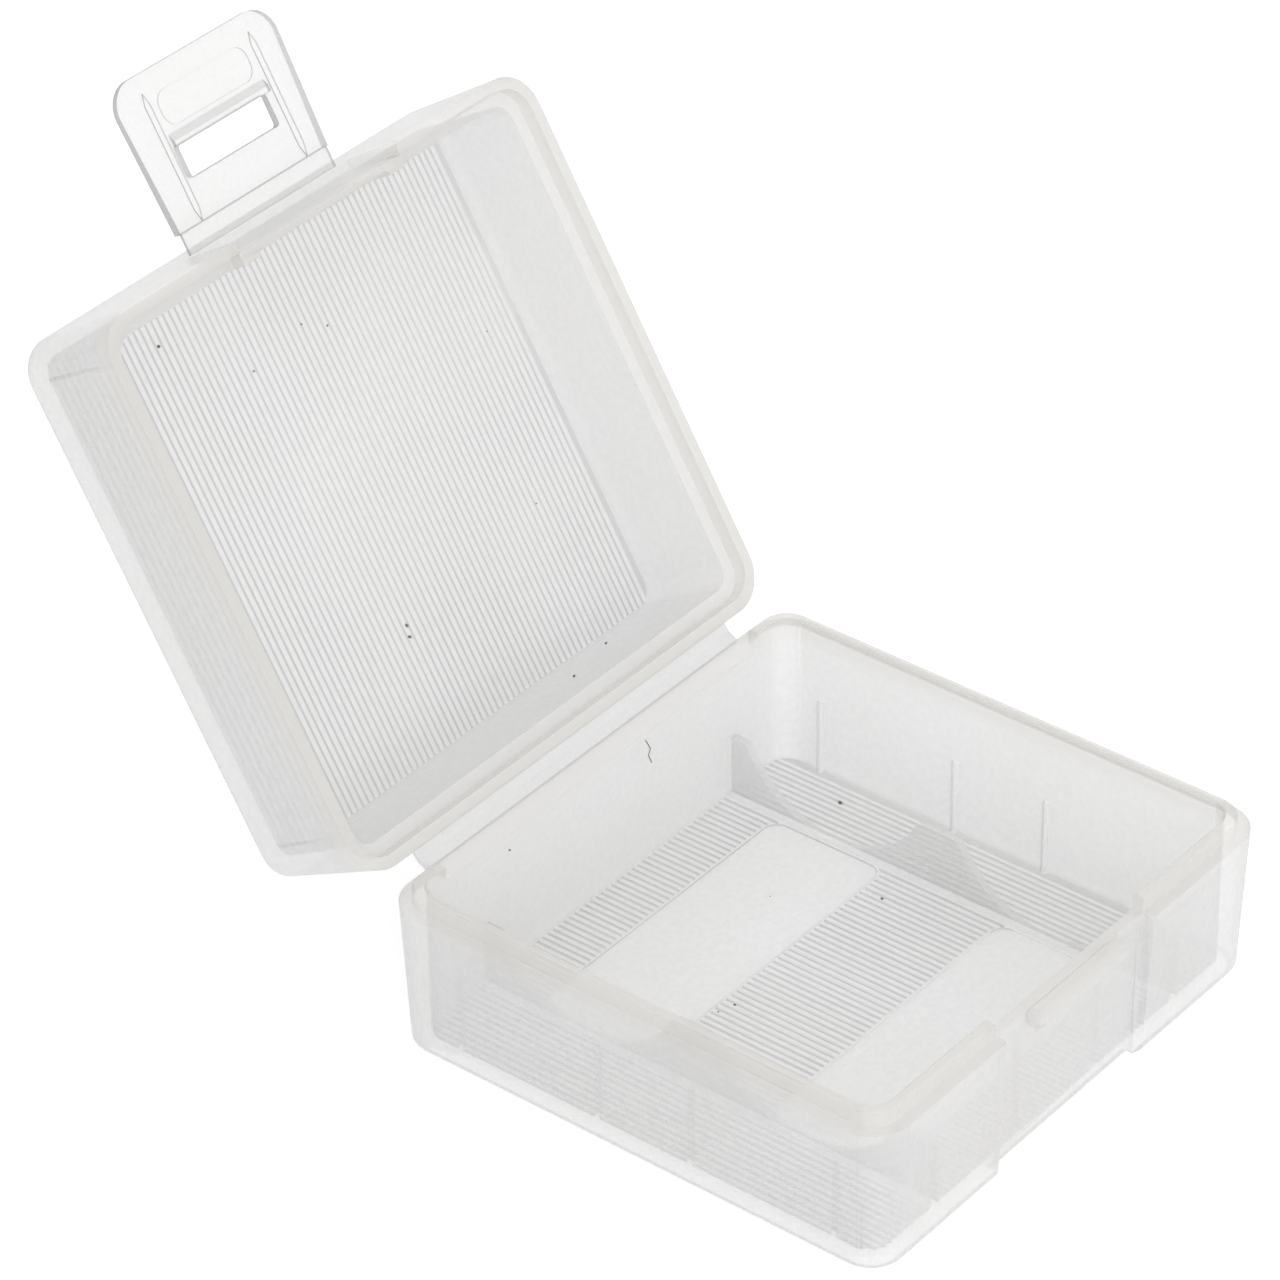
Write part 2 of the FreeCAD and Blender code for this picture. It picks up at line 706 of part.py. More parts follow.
catch_bar.Profile = catch_sketch
catch_bar.ReferenceAxis = (catch_sketch, ["Edge1"])
catch_bar.Angle = 360

# Lid shell
lid = new_body("lid")
rim_loop = round_loop(half_width, lid_middle - half_depth, lid_middle + half_depth, corner_radius)
lid_lean = slope_angle(-lid_draft, lid_height)
rim_sketch = outline(lid, "lid_rim", "XY_Plane", deep(ZERO), [rim_loop])
lid_shell = add(lid, "lid_walls", rim_sketch, lid_height, lid_lean)
round_rim(lid, "lid_panel_round", lid_shell, deep(lid_height))
lid_inside_loop = round_loop(
    lid_inner_x, lid_middle - lid_inner_y, lid_middle + lid_inner_y, lid_corner_inside
)
lid_inside_height = deep(lid_panel_inside)
lid_inside_sketch = outline(lid, "lid_inside_outline", "XY_Plane", lid_inside_height, [lid_inside_loop])
cut(lid, "lid_inside", lid_inside_sketch, lid_panel_inside + embed)

# Rebate that fits around the tray's tongue, left solid at the latch
lip_width = tongue_inset - fit_gap
rebate_x = half_width - lip_width
rebate_y = half_depth - lip_width
rebate_loop = round_loop(
    rebate_x, lid_middle - rebate_y, lid_middle + rebate_y, corner_radius - lip_width
)
rebate_sketch = outline(lid, "rebate_outline", "XY_Plane", deep(tongue_height), [rebate_loop])
cut(lid, "rebate", rebate_sketch, tongue_height + embed)
land_half = front_gap_half - fit_gap
land_loop = box_loop(-land_half, land_half, out(recess_face + half_depth), out(case_depth - lid_rim_width))
land_sketch = outline(lid, "land_outline", "XY_Plane", deep(ZERO), [land_loop])
add(lid, "land", land_sketch, tongue_height + embed)

# Latch recess outside and relief behind it
lid_recess_loop = recess_loop(out(case_depth), out(recess_face + half_depth))
lid_recess_deep = deep(lid_recess_height)
lid_recess_sketch = outline(lid, "lid_recess_outline", "XY_Plane", lid_recess_deep, [lid_recess_loop])
cut(lid, "lid_recess", lid_recess_sketch, lid_recess_height + embed)
relief_loop = round_loop(
    relief_half,
    out(case_depth - lid_rim_width + relief_depth),
    out(case_depth - lid_rim_width - relief_depth * 2),
    relief_depth,
)
relief_sketch = outline(lid, "relief_outline", "XY_Plane", deep(relief_drop), [relief_loop])
cut(lid, "relief", relief_sketch, relief_drop + embed)

# Reeded panel
lid_reed_count = whole((lid_inner_y * 2 + reed_pitch - reed_foot) / reed_pitch)
lid_first_reed = lid_middle - (lid_reed_count - 1) * reed_pitch / 2
lid_reed_start = -(lid_inner_x + embed)
lid_crest = lid_inside_height - reed_height
lid_reed = [reed_profile(lid_first_reed, lid_inside_height, lid_crest)]
lid_reed_sketch = outline(lid, "lid_reed_outline", "YZ_Plane", lid_reed_start, lid_reed)
one_lid_reed = add(lid, "lid_reed", lid_reed_sketch, (lid_inner_x + embed) * 2)
repeat(lid, "lid_reeds", one_lid_reed, lid_reed_count)
turn_with_lid(lid)

# Latch tab
latch = new_body("latch_tab")
inner_face = deep(tab_face)
outer_face = inner_face + tab_thickness
tip_half = tab_tip_half
tab_loop = [
    (tab_root_half, out(fold_place), None),
    (-tab_root_half, out(fold_place), None),
    (-tip_half, out(tab_end - tab_corner), bend(tab_corner, LEFT_TURN)),
    (-tip_half + tab_corner, out(tab_end), None),
    (tip_half - tab_corner, out(tab_end), bend(tab_corner, LEFT_TURN)),
    (tip_half, out(tab_end - tab_corner), None),
]
tab_sketch = outline(latch, "tab_outline", "XY_Plane", inner_face, [tab_loop])
add(latch, "tab_plate", tab_sketch, tab_thickness)
wedge_loop = straight(
    [
        (out(fold_place), outer_face),
        (out(tab_end), inner_face + tab_tip_thickness),
        (out(tab_end), outer_face + embed),
        (out(fold_place), outer_face + embed),
    ]
)
wedge_sketch = outline(latch, "wedge_outline", "YZ_Plane", half_width, [wedge_loop])
cut(latch, "wedge", wedge_sketch, case_width)
window_loop = round_loop(window_half, out(window_end), out(window_start), window_round)
window_sketch = outline(latch, "window_outline", "XY_Plane", outer_face + embed, [window_loop])
cut(latch, "window", window_sketch, tab_thickness + embed * 2)

# Hook that goes under the catch bar
hook_root = inner_face + embed
hook_crest = inner_face - hook_height
hook_loop = straight(
    [
        (out(window_end), hook_root),
        (out(window_end), hook_crest),
        (out(hook_flat_end), hook_crest),
        (out(hook_end), inner_face),
        (out(hook_end), hook_root),
    ]
)
hook_sketch = outline(latch, "hook_outline", "YZ_Plane", -hook_half, [hook_loop])
add(latch, "hook", hook_sketch, hook_half * 2)

# Long pointed ridges beside the catch bar, and the finger pad
half_spine = spine_width / 2
for side, middle in (("left", -spine_place), ("right", spine_place)):
    spine_loop = straight(
        [
            (middle, out(spine_end)),
            (middle + half_spine, out(spine_end - spine_taper)),
            (middle + half_spine, out(spine_start + spine_taper)),
            (middle, out(spine_start)),
            (middle - half_spine, out(spine_start + spine_taper)),
            (middle - half_spine, out(spine_end - spine_taper)),
        ]
    )
    spine_crest = inner_face - spine_height
    spine_sketch = outline(latch, f"spine_{side}_outline", "XY_Plane", spine_crest, [spine_loop])
    add(latch, f"spine_{side}", spine_sketch, spine_height + embed)
pad_loop = round_loop(pad_half, out(pad_end), out(pad_start), pad_round)
pad_sketch = outline(latch, "finger_pad_outline", "XY_Plane", inner_face + pad_sink, [pad_loop])
cut(latch, "finger_pad", pad_sketch, pad_sink + embed)
turn_with_lid(latch)

# Flexing web that the latch tab hangs on
latch_root = new_body("latch_hinge")
web_near = tab_face + web_sink
web_far = web_near + web_thickness
web_loop = straight(
    [
        (out(fold_place), deep(web_near)),
        (out(lid_wall(web_near)), deep(web_near)),
        (out(lid_wall(web_far)), deep(web_far)),
        (out(fold_place), deep(web_far)),
    ]
)
web_sketch = outline(latch_root, "latch_hinge_outline", "YZ_Plane", -web_half, [web_loop])
add(latch_root, "latch_hinge_web", web_sketch, web_half * 2)
turn_with_lid(latch_root)

# Flexing strip between tray and lid
strip = new_body("lid_hinge")


def from_lid(along, deep):
    """A place in the lid's frame, as the tray's Y and Z with the lid at its angle."""
    place_y = hinge_line_y + along * cosine(lid_angle) + deep * sine(lid_angle)
    place_z = hinge_line_z - along * sine(lid_angle) + deep * cosine(lid_angle)
    return (place_y, place_z)


lid_wall_shift = lid_draft * hinge_thickness / lid_height
tray_wall_shift = tray_draft * hinge_thickness / tray_height
crease_y = hinge_line_y - crease_back
crease_z = hinge_line_z + crease_rise
strip_loop = straight(
    [
        (half_depth - tray_wall_shift, tray_height - hinge_thickness),
        (crease_y + crease_thickness / 2, crease_z - crease_thickness),
        from_lid(-hinge_reach - lid_wall_shift, deep(hinge_thickness)),
        from_lid(-hinge_reach, deep(ZERO)),
        (crease_y, crease_z),
        (half_depth, tray_height),
    ]
)
strip_sketch = outline(strip, "lid_hinge_outline", "YZ_Plane", -hinge_half, [strip_loop])
add(strip, "lid_hinge_strip", strip_sketch, hinge_half * 2)

doc.recompute()

for thing in doc.Objects:
    if {"Invalid", "Error"} & set(thing.State):
        raise RuntimeError(f"{thing.Label}: {thing.State}")

os.makedirs(PARTS_FOLDER, exist_ok=True)
for body in (tray, lid, latch, latch_root, strip):
    shape = body.Shape
    if shape.isNull() or not shape.isValid() or len(shape.Solids) != 1:
        raise RuntimeError(f"{body.Label} is not one sound solid")
    shape.exportStep(f"{PARTS_FOLDER}/{body.Label}.step")
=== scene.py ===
"""Battery storage box of milky polypropylene, standing open on a plain pale floor."""

import math
import random
from collections import namedtuple

import bmesh
import bpy
from mathutils import Matrix, Vector


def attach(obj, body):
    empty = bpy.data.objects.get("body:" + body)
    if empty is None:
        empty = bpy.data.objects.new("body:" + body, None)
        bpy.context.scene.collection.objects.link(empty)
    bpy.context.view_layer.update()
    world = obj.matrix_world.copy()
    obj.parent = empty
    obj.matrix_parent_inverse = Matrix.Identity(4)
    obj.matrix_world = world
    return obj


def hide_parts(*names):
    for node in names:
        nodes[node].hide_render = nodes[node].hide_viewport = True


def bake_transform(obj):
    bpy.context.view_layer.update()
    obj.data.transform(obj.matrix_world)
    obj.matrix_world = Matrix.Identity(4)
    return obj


MM = 0.001

# The camera at the photograph's viewpoint, as solved from the box's own right angles
CAMERA_LENS = 171.194
CAMERA_SENSOR = 36.0
CAMERA_PLACE = Vector((-0.4480194, -0.3370594, 0.4431178))
CAMERA_TURN = Matrix(
    (
        (0.62353802, 0.45467758, -0.63597849),
        (-0.78167628, 0.34852681, -0.51721490),
        (-0.01351046, 0.81963245, 0.57273040),
    )
)

# The world's light on the box, and its strength where it is seen
WORLD_LIGHT = 0.68
WORLD_SEEN = 1.0

# The floor: half its width, its colour, and the light that it gives where it is seen
FLOOR_HALF = 4.0
FLOOR_COLOUR = (0.9, 0.9, 0.9, 1.0)
FLOOR_LIFT = 0.4

# Soft square lamps: name, place, side length, power and colour
LAMP_TARGET = (0.0, 0.02, 0.03)
LAMPS = (
    ("key", (-0.35, -0.2, 1.3), 0.9, 1.5, (1.0, 0.99, 0.98)),
    ("fill", (-0.6, -1.05, 0.55), 1.0, 5.0, (0.98, 0.99, 1.0)),
    ("side", (1.0, 0.9, 0.9), 0.8, 1.5, (1.0, 1.0, 1.0)),
)

# Colours of the plastic: walls, thick rims, painted shade for the latch's turned edges, painted
# shade for the reed grooves, and fine grain
WALL = (0.905, 0.90, 0.90, 1.0)
CREAM = (0.86, 0.845, 0.81, 1.0)
PAINTED_EDGE_SHADE = (0.42, 0.415, 0.41, 1.0)
GROOVE_SHADE = (0.54, 0.54, 0.54, 1.0)
GRAIN = (0.60, 0.62, 0.65, 1.0)

# How much of the cream and grain colours shows, the noise's range and scales, and the gloss's haze
CREAM_SHARE = 0.4
GRAIN_SHARE = 0.16
NOISE_LOW, NOISE_HIGH = 0.35, 0.65
CLOUD_SCALE = 40.0
GRAIN_SCALE = 1100.0
HAZE_LOW, HAZE_HIGH = 0.3, 0.7
HAZE_SPREAD = 0.06

# How opacity grows edge-on, what a thick rim and a latch edge add, and the refractive index
EDGE_BLEND = 0.3
RIM_OPACITY = 0.1
EDGE_OPACITY = 0.3
PLASTIC_IOR = 1.49

# Dust: its two colours and the size of its mottling
DUST_DARK = (0.10, 0.09, 0.08, 1.0)
DUST_PALE = (0.30, 0.28, 0.26, 1.0)
DUST_SCALE = 3000.0

# The hinge line and the lid's angle, as in the CAD source
HINGE_LINE = Vector((0.0, 37.17, 20.31)) * MM
LID_ANGLE = math.radians(121.1)

# Directions in the open lid: away from the hinge along its walls, and from its rim to its panel
LID_OUT = Vector((0.0, -math.cos(LID_ANGLE), math.sin(LID_ANGLE)))
LID_DEEP = Vector((0.0, math.sin(LID_ANGLE), math.cos(LID_ANGLE)))

# The lid's edge from the hinge line, in mm: outward along the lid, and from the line to its rim
HINGE_REACH = 1.37
HINGE_RISE = 0.21

# Reeds, in mm: pitch, height above the floor, widths at foot and crest, and the groove's rise
REED_PITCH = 1.0
REED_HEIGHT = 0.3
REED_FOOT = 0.9
REED_CREST = 0.62
GROOVE_RISE = 0.06

# How far the new reeds are sunk into the floor and walls, in mm
SEAT = 0.2

# Bare floor panels, in mm: half length, width, centre's distance from the middle, and rounding
PANEL_HALF = 22.7
PANEL_WIDTH = 16.6
PANEL_CENTRE = 16.9
PANEL_ROUND = 2.0
PANEL_BORDER = 0.35

# Mouldings: the bend that shades as an edge, the bend that still counts as flat, and large faces
SHARP_ANGLE = math.radians(27)
FLAT_ANGLE = math.radians(0.1)
BIG_FACE = 30.0 * MM * MM

# Half lengths of the two bending strips along the hinge, in mm
HINGE_STRIP_HALF = 29.1
LATCH_ROOT_HALF = 12.75

# Specks of dust: across, along and up in the lid or tray, and radius, in mm
LID_SPECKS = (
    (-18.1, 62.9, -15.95, 0.26),
    (-7.0, 54.35, -15.95, 0.22),
    (6.1, 54.2, -15.95, 0.2),
    (2.6, 56.0, -15.95, 0.14),
    (-2.8, 18.35, -15.95, 0.3),
    (-3.15, 17.0, -15.95, 0.34),
    (28.3, 42.9, -15.95, 0.15),
    (23.7, 21.6, -15.95, 0.15),
    (20.7, 3.25, -11.8, 0.26),
    (11.1, 3.25, -8.5, 0.24),
)
TRAY_SPECKS = (
    (18.0, 5.35, 1.33, 0.22),
    (30.3, 20.9, 1.33, 0.4),
    (-21.3, 16.9, 1.1, 0.16),
    (-8.8, 6.8, 1.33, 0.16),
    (-11.0, 7.5, 1.33, 0.14),
    (10.5, 16.4, 1.1, 0.12),
    (-18.0, 32.72, 17.5, 0.18),
)

# A fine hair on the tray's back wall, in mm: its route, half its width, and its flatness
HAIR_ROUTE = ((7.4, 32.7, 18.7), (8.3, 32.7, 17.0), (7.9, 32.7, 16.2), (8.5, 32.7, 14.8))
HAIR_RADIUS = 0.07 * MM
HAIR_FLATNESS = 0.5

# A shell's inside: half width, ends along its walls and floor in mm, and ways to and from places
Inside = namedtuple("Inside", "half start end floor place measure")

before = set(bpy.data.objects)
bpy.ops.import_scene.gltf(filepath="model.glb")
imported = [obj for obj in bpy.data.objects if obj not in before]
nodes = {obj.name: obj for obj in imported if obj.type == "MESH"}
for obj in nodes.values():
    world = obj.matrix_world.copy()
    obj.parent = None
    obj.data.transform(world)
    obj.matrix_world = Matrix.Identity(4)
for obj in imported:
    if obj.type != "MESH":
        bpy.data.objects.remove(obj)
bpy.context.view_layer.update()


def lid_point(across, out, deep):
    """A place in the lid: across the hinge, out from its hinge-side edge, deep from its rim."""
    place = HINGE_LINE + LID_OUT * ((out + HINGE_REACH) * MM) + LID_DEEP * ((deep - HINGE_RISE) * MM)
    place.x = across * MM
    return place


def tray_point(across, along, up):
    """A place in the tray: across the hinge, towards it, and up from the tray's foot."""
    return Vector((across, along, up)) * MM


def lid_place(across, along, up):
    """A place in the lid, where up is from its panel towards its rim."""
    return lid_point(across, along, -up)


def tray_measure(point):
    """The three distances that tray_point takes."""
    return tuple(point / MM)


def lid_measure(point):
    """The three distances that lid_place takes."""
    away = (point - HINGE_LINE) / MM
    return point.x / MM, away.dot(LID_OUT) - HINGE_REACH, -away.dot(LID_DEEP) - HINGE_RISE


def between(points, steps):
    """The points with more added evenly between them."""
    line = []
    for first, second in zip(points, points[1:]):
        line += [first.lerp(second, step / steps) for step in range(steps)]
    return line + [points[-1]]


def add_object(name, data):
    """Put an object into the scene."""
    item = bpy.data.objects.new(name, data)
    bpy.context.scene.collection.objects.link(item)
    return item


def add_piece(name, mesh, material):
    """Put a new mesh into the scene, with its material and slot."""
    piece = add_object(name, mesh)
    mesh.materials.append(material)
    return piece


def mesh_from(form, name):
    """Turn a finished form into a mesh."""
    mesh = bpy.data.meshes.new(name)
    form.to_mesh(mesh)
    form.free()
    return mesh


def new_material(name):
    """A new material, its node tree and its surface shader."""
    material = bpy.data.materials.new(name)
    material.use_nodes = True
    tree = material.node_tree
    return material, tree, tree.nodes["Principled BSDF"]


def make_camera():
    """The camera at the photograph's viewpoint."""
    data = bpy.data.cameras.new("camera")
    data.sensor_width = CAMERA_SENSOR
    data.lens = CAMERA_LENS
    data.clip_start = 0.05
    data.clip_end = 20.0
    camera = add_object("camera", data)
    camera.matrix_world = Matrix.Translation(CAMERA_PLACE) @ CAMERA_TURN.to_4x4()
    bpy.context.scene.camera = camera


def combine(tree, kind, first, second):
    """Two values worked into one, held between 0 and 1."""
    node = tree.nodes.new("ShaderNodeMath")
    node.operation = kind
    node.use_clamp = True
    for socket, value in zip(node.inputs, (first, second)):
        if isinstance(value, float):
            socket.default_value = value
        else:
            tree.links.new(value, socket)
    return node.outputs["Value"]


def remap(tree, value, low, high, to_low, to_high):
    """The value carried from one range to another."""
    node = tree.nodes.new("ShaderNodeMapRange")
    node.inputs["From Min"].default_value = low
    node.inputs["From Max"].default_value = high
    node.inputs["To Min"].default_value = to_low
    node.inputs["To Max"].default_value = to_high
    tree.links.new(value, node.inputs["Value"])
    return node.outputs["Result"]


def mixed(tree, factor, first, second):
    """A colour between two colours."""
    node = tree.nodes.new("ShaderNodeMix")
    node.data_type = "RGBA"
    for socket, colour in ((node.inputs["A"], first), (node.inputs["B"], second)):
        if isinstance(colour, tuple):
            socket.default_value = colour
        else:
            tree.links.new(colour, socket)
    tree.links.new(factor, node.inputs["Factor"])
    return node.outputs["Result"]


def value_noise(tree, vector, scale, detail, roughness=0.5):
    """A noise texture over the given coordinates."""
    noise = tree.nodes.new("ShaderNodeTexNoise")
    noise.inputs["Scale"].default_value = scale
    noise.inputs["Detail"].default_value = detail
    noise.inputs["Roughness"].default_value = roughness
    tree.links.new(vector, noise.inputs["Vector"])
    return noise.outputs["Fac"]


def along_direction(tree, output, direction):
    """How far the coordinates of the given kind reach along a direction."""
    coordinates = tree.nodes.new("ShaderNodeTexCoord")
    reach = tree.nodes.new("ShaderNodeVectorMath")
    reach.operation = "DOT_PRODUCT"
    reach.inputs[1].default_value = direction
    tree.links.new(coordinates.outputs[output], reach.inputs[0])
    return reach.outputs["Value"]


def seen_directly(tree):
    """A socket that is 1 for rays that the eye, a reflection or a see-through surface sends."""
    path = tree.nodes.new("ShaderNodeLightPath")
    first = combine(tree, "MAXIMUM", path.outputs["Is Camera Ray"], path.outputs["Is Glossy Ray"])
    return combine(tree, "MAXIMUM", first, path.outputs["Is Transmission Ray"])


def make_world():
    """Soft even light from all round, white where it is seen."""
    world = bpy.data.worlds.new("studio")
    world.use_nodes = True
    tree = world.node_tree
    background = tree.nodes["Background"]
    background.inputs["Color"].default_value = (1.0, 1.0, 1.0, 1.0)
    strength = remap(tree, seen_directly(tree), 0.0, 1.0, WORLD_LIGHT, WORLD_SEEN)
    tree.links.new(strength, background.inputs["Strength"])
    bpy.context.scene.world = world


def make_floor():
    """A plain pale floor that keeps the object's shadow."""
    corners = [(x * FLOOR_HALF, y * FLOOR_HALF, 0) for x, y in ((-1, -1), (1, -1), (1, 1), (-1, 1))]
    mesh = bpy.data.meshes.new("floor")
    mesh.from_pydata(corners, [], [(0, 1, 2, 3)])
    floor = add_object("floor", mesh)
    material, tree, surface = new_material("floor")
    surface.inputs["Base Color"].default_value = FLOOR_COLOUR
    surface.inputs["Roughness"].default_value = 0.9
    surface.inputs["Specular IOR Level"].default_value = 0.1
    surface.inputs["Emission Color"].default_value = (1.0, 1.0, 1.0, 1.0)
    lift = combine(tree, "MULTIPLY", seen_directly(tree), FLOOR_LIFT)
    tree.links.new(lift, surface.inputs["Emission Strength"])
    mesh.materials.append(material)


def make_lamp(name, place, size, power, colour):
    """A soft square lamp that points at the box."""
    data = bpy.data.lights.new(name, "AREA")
    data.size = size
    data.energy = power
    data.color = colour
    lamp = add_object(name, data)
    lamp.location = place
    lamp.rotation_euler = (Vector(LAMP_TARGET) - Vector(place)).to_track_quat("-Z", "Y").to_euler()


def depth_band(tree, origin, inward, near, far):
    """1 near the plane through the origin, falling to 0 between two depths behind it, in mm."""
    depth = along_direction(tree, "Object", inward)
    base = origin.dot(inward)
    return remap(tree, depth, base + near * MM, base + far * MM, 1.0, 0.0)


def off_plane(tree, normal):
    """1 where the surface turns away from the plate that it belongs to, 0 on the plate's faces."""
    turned, flat = 0.75, 0.99
    size = tree.nodes.new("ShaderNodeMath")
    size.operation = "ABSOLUTE"
    tree.links.new(along_direction(tree, "Normal", normal), size.inputs[0])
    return remap(tree, size.outputs["Value"], turned, flat, 1.0, 0.0)


def edge_on(tree):
    """How far the surface turns away from the eye, which looks along more of the plastic there."""
    weight = tree.nodes.new("ShaderNodeLayerWeight")
    weight.inputs["Blend"].default_value = EDGE_BLEND
    return weight.outputs["Facing"]


def make_plastic(name, body, edge, roughness, seed, rim=None, plate=None, wall=WALL):
    """Milky polypropylene: see-through walls with faint haze, creamier where it is thick, with
    painted shade along edges that turn off a plate.
    """
    material, tree, surface = new_material(name)
    coordinates = tree.nodes.new("ShaderNodeTexCoord")
    moved = tree.nodes.new("ShaderNodeMapping")
    moved.inputs["Location"].default_value = (seed, seed * 0.7, -seed)
    tree.links.new(coordinates.outputs["Object"], moved.inputs["Vector"])
    place = moved.outputs["Vector"]
    cloud = value_noise(tree, place, CLOUD_SCALE, 1.0)
    grain = value_noise(tree, place, GRAIN_SCALE, 1.0, 0.7)
    colour = mixed(tree, remap(tree, cloud, NOISE_LOW, NOISE_HIGH, 0.0, CREAM_SHARE), wall, CREAM)
    colour = mixed(tree, remap(tree, grain, NOISE_LOW, NOISE_HIGH, 0.0, GRAIN_SHARE), colour, GRAIN)
    opacity = remap(tree, edge_on(tree), 0.0, 1.0, body, edge)
    if rim is not None:
        thick = depth_band(tree, *rim)
        colour = mixed(tree, thick, colour, CREAM)
        opacity = combine(tree, "ADD", opacity, combine(tree, "MULTIPLY", thick, RIM_OPACITY))
    # Painted shade: a dark colour and more opacity where the surface turns off the plate, along the
    # latch's edges and ridges
    if plate is not None:
        turned = off_plane(tree, plate)
        colour = mixed(tree, turned, colour, PAINTED_EDGE_SHADE)
        opacity = combine(tree, "ADD", opacity, combine(tree, "MULTIPLY", turned, EDGE_OPACITY))
    gloss = (roughness - HAZE_SPREAD, roughness + HAZE_SPREAD)
    haze = remap(tree, grain, HAZE_LOW, HAZE_HIGH, *gloss)
    tree.links.new(colour, surface.inputs["Base Color"])
    tree.links.new(opacity, surface.inputs["Alpha"])
    tree.links.new(haze, surface.inputs["Roughness"])
    surface.inputs["IOR"].default_value = PLASTIC_IOR
    return material


def make_dust_material():
    """Grey-brown dust."""
    material, tree, surface = new_material("dust")
    coordinates = tree.nodes.new("ShaderNodeTexCoord")
    mottle = value_noise(tree, coordinates.outputs["Object"], DUST_SCALE, 2.0)
    tree.links.new(mixed(tree, mottle, DUST_DARK, DUST_PALE), surface.inputs["Base Color"])
    surface.inputs["Roughness"].default_value = 0.95
    return material


def finish_node(name, material):
    """Give a CAD node its material."""
    mesh = nodes[name].data
    mesh.materials.clear()
    mesh.materials.append(material)


def skin_rings(form, rings):
    """Close a tube over rings of matching points, with a face at each end."""
    for near, far in zip(rings, rings[1:]):
        for index in range(len(near)):
            after = (index + 1) % len(near)
            form.faces.new((near[index], near[after], far[after], far[index]))
    form.faces.new(rings[0][::-1])
    form.faces.new(rings[-1])
    bmesh.ops.recalc_face_normals(form, faces=form.faces)


def make_ribbon(name, half, top, bottom, columns, material):
    """A strip along the hinge, between two cross-section lines of matching points."""
    form = bmesh.new()
    loop = list(top) + list(reversed(bottom))
    rings = []
    for column in range(columns + 1):
        across = (2 * column / columns - 1) * half * MM
        rings.append([form.verts.new((across, point.y, point.z)) for point in loop])
    skin_rings(form, rings)
    return add_piece(name, mesh_from(form, name), material)


def make_lid_strip(material):
    """The thin strip that joins the lid to the tray, built with the lid open."""
    top = [tray_point(0, 35.8, 20.0), tray_point(0, 36.96, 20.62), lid_point(0, 0, 0)]
    bottom = [tray_point(0, 35.78, 19.55), tray_point(0, 37.13, 20.28), lid_point(0, 0.025, 0.45)]
    steps, columns = 5, 8
    lines = [between(line, steps) for line in (top, bottom)]
    strip = make_ribbon("hinge_strip", HINGE_STRIP_HALF, *lines, columns, material)
    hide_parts("lid_hinge")
    end = lid_point(0, 0, 0.2)
    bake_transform(strip)


def make_latch_root(material):
    """The thin web that the latch tab hangs on, built in one pose."""
    near = [lid_point(0, 71.07, 9.78), lid_point(0, 73.7, 9.78)]
    far = [lid_point(0, 71.04, 10.2), lid_point(0, 73.7, 10.2)]
    steps, columns = 10, 4
    lines = [between(line, steps) for line in (near, far)]
    root = make_ribbon("latch_root", LATCH_ROOT_HALF, *lines, columns, material)
    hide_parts("latch_hinge")
    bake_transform(root)


def prism(first, second):
    """A closed solid between two matching rings of points."""
    form = bmesh.new()
    near, far = [[form.verts.new(point) for point in ring] for ring in (first, second)]
    form.faces.new(near)
    form.faces.new(far[::-1])
    for index in range(len(near)):
        after = (index + 1) % len(near)
        form.faces.new((near[after], near[index], far[index], far[after]))
    bmesh.ops.recalc_face_normals(form, faces=form.faces)
    return add_object("tool", mesh_from(form, "tool"))


def work(piece, operation, tool):
    """Join the tool to the piece, or cut it away."""
    step = piece.modifiers.new("step", "BOOLEAN")
    step.operation = operation
    step.object = tool
    step.solver = "MANIFOLD"
    depsgraph = bpy.context.evaluated_depsgraph_get()
    piece.data = bpy.data.meshes.new_from_object(piece.evaluated_get(depsgraph))
    piece.modifiers.clear()
    bpy.data.objects.remove(tool)


def reed_comb(inside):
    """A slab with a row of reeds on it, which run away from the hinge."""
    half = inside.half + SEAT
    low = inside.floor - SEAT
    groove = inside.floor + GROOVE_RISE
    crest = inside.floor + REED_HEIGHT
    reed = (
        (-REED_FOOT / 2, groove),
        (-REED_CREST / 2, crest),
        (REED_CREST / 2, crest),
        (REED_FOOT / 2, groove),
    )
    outline = [(half, low), (-half, low), (-half, groove)]
    for number in range(math.ceil(-half), math.floor(half)):
        outline += [(number * REED_PITCH + across, up) for across, up in reed]
    outline.append((half, groove))
    return prism(
        [inside.place(across, inside.start - SEAT, up) for across, up in outline],
        [inside.place(across, inside.end + SEAT, up) for across, up in outline],
    )


def panel_block(centre, margin, low, high):
    """A bare panel's rounded oblong, with a margin round it."""
    half_x, half_y, radius = PANEL_HALF + margin, PANEL_WIDTH / 2 + margin, PANEL_ROUND + margin
    corners = ((1, 1, 0), (-1, 1, 1), (-1, -1, 2), (1, -1, 3))
    steps = 6
    ring = []
    for side_x, side_y, quarter in corners:
        for step in range(steps + 1):
            angle = math.radians(90) * (quarter + step / steps)
            x = side_x * (half_x - radius) + radius * math.cos(angle)
            y = centre + side_y * (half_y - radius) + radius * math.sin(angle)
            ring.append((x, y))
    return prism([tray_point(x, y, low) for x, y in ring], [tray_point(x, y, high) for x, y in ring])


def level_reeds(mesh, inside):
    """Bring what stands between the floor and the reeds' tops down to the floor."""
    slack = 0.05
    form = bmesh.new()
    form.from_mesh(mesh)
    bmesh.ops.remove_doubles(form, verts=form.verts, dist=slack * MM / 100)
    for vertex in form.verts:
        across, along, up = inside.measure(vertex.co)
        in_length = inside.start - slack < along < inside.end + slack
        in_height = inside.floor < up < inside.floor + REED_HEIGHT + slack
        if abs(across) < inside.half + slack and in_length and in_height:
            vertex.co = inside.place(across, along, inside.floor)
    bmesh.ops.dissolve_degenerate(form, edges=form.edges, dist=slack * MM / 100)
    bmesh.ops.triangulate(form, faces=form.faces)
    form.to_mesh(mesh)
    form.free()


